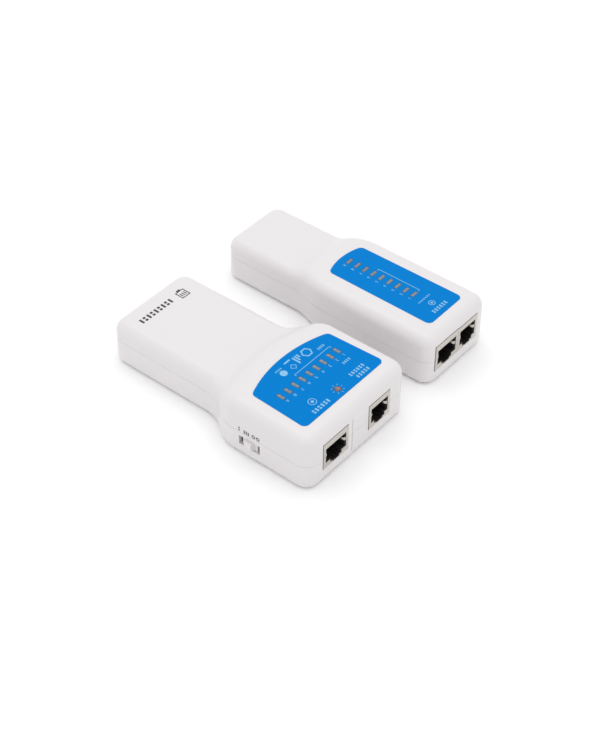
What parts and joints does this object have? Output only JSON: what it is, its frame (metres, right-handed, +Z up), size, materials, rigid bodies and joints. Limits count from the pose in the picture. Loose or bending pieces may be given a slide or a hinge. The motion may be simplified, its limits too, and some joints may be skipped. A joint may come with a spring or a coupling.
{
  "type": "network cable tester",
  "caption": "Handheld network cable tester: master unit with a battery, slide switch and lamp row, beside a smaller remote unit, each with two modular sockets.",
  "frame": {"origin": "centre of the master unit's flat base, on the surface it lies on", "axes": "+X towards the socket end of both units, +Y from the master to the remote, +Z up out of the label faces"},
  "size_m": [0.1188, 0.1262, 0.0282],
  "materials": {
    "case_white": "glossy white ABS",
    "label_film": "glossy blue polycarbonate film",
    "board": "green solder mask",
    "lamp_lens": "diffused epoxy",
    "power_lens": "clear epoxy",
    "nickel": "nickel-plated sheet",
    "black_plastic": "moulded black",
    "gold": "gold plated",
    "battery_wrap": "printed steel jacket",
    "red_insulation": "PVC",
    "foam": "soft foam",
    "component_body": "lacquered",
    "capacitor_sleeve": "shrink sleeve",
    "screw_steel": "zinc plated"
  },
  "bodies": {
    "master": {"master_top_shell": "case_white", "master_bottom_shell": "case_white", "master_label": "label_film", "master_pcb": "board", "master_led_1": "lamp_lens", "master_led_2": "lamp_lens", "master_led_3": "lamp_lens", "master_led_4": "lamp_lens", "master_led_5": "lamp_lens", "master_led_6": "lamp_lens", "master_led_7": "lamp_lens", "master_led_8": "lamp_lens", "master_led_ground": "lamp_lens", "power_led": "power_lens", "switch_bracket": "nickel", "switch_base": "black_plastic", "master_rj45_shield": "nickel", "master_rj45_insert": "black_plastic", "master_rj45_contacts": "gold", "master_rj12_shield": "nickel", "master_rj12_insert": "black_plastic", "master_rj12_contacts": "gold", "battery": "battery_wrap", "battery_terminals": "nickel", "battery_snap": "black_plastic", "battery_lead_red": "red_insulation", "battery_lead_black": "black_plastic", "battery_foam": "foam", "counter_chip": "black_plastic", "timer_chip": "black_plastic", "master_resistors": "component_body", "capacitor": "capacitor_sleeve", "master_case_screws": "screw_steel", "master_board_screws": "screw_steel"},
    "switch": {"switch_slider": "black_plastic", "switch_knob": "case_white"},
    "battery_door": {"battery_door": "case_white"},
    "remote": {"remote_rj45_shield": "nickel", "remote_rj45_insert": "black_plastic", "remote_rj45_contacts": "gold", "remote_rj12_shield": "nickel", "remote_rj12_insert": "black_plastic", "remote_rj12_contacts": "gold", "remote_top_shell": "case_white", "remote_bottom_shell": "case_white", "remote_label": "label_film", "remote_pcb": "board", "remote_led_1": "lamp_lens", "remote_led_2": "lamp_lens", "remote_led_3": "lamp_lens", "remote_led_4": "lamp_lens", "remote_led_5": "lamp_lens", "remote_led_6": "lamp_lens", "remote_led_7": "lamp_lens", "remote_led_8": "lamp_lens", "remote_led_ground": "lamp_lens", "remote_diodes": "component_body", "remote_case_screws": "screw_steel", "remote_board_screws": "screw_steel"}
  },
  "joints": [
    {"name": "power_switch", "type": "slide", "parent": "master", "child": "switch", "axis": [1, 0, 0], "range_m": [-0.0016, 0.0016]},
    {"name": "battery_door_slide", "type": "slide", "parent": "master", "child": "battery_door", "axis": [-1, 0, 0], "range_m": [0, 0.056]},
    {"name": "remote_slide", "type": "slide", "parent": "master", "child": "remote", "axis": [0, 1, 0], "range_m": [0, 0.15]}
  ]
}
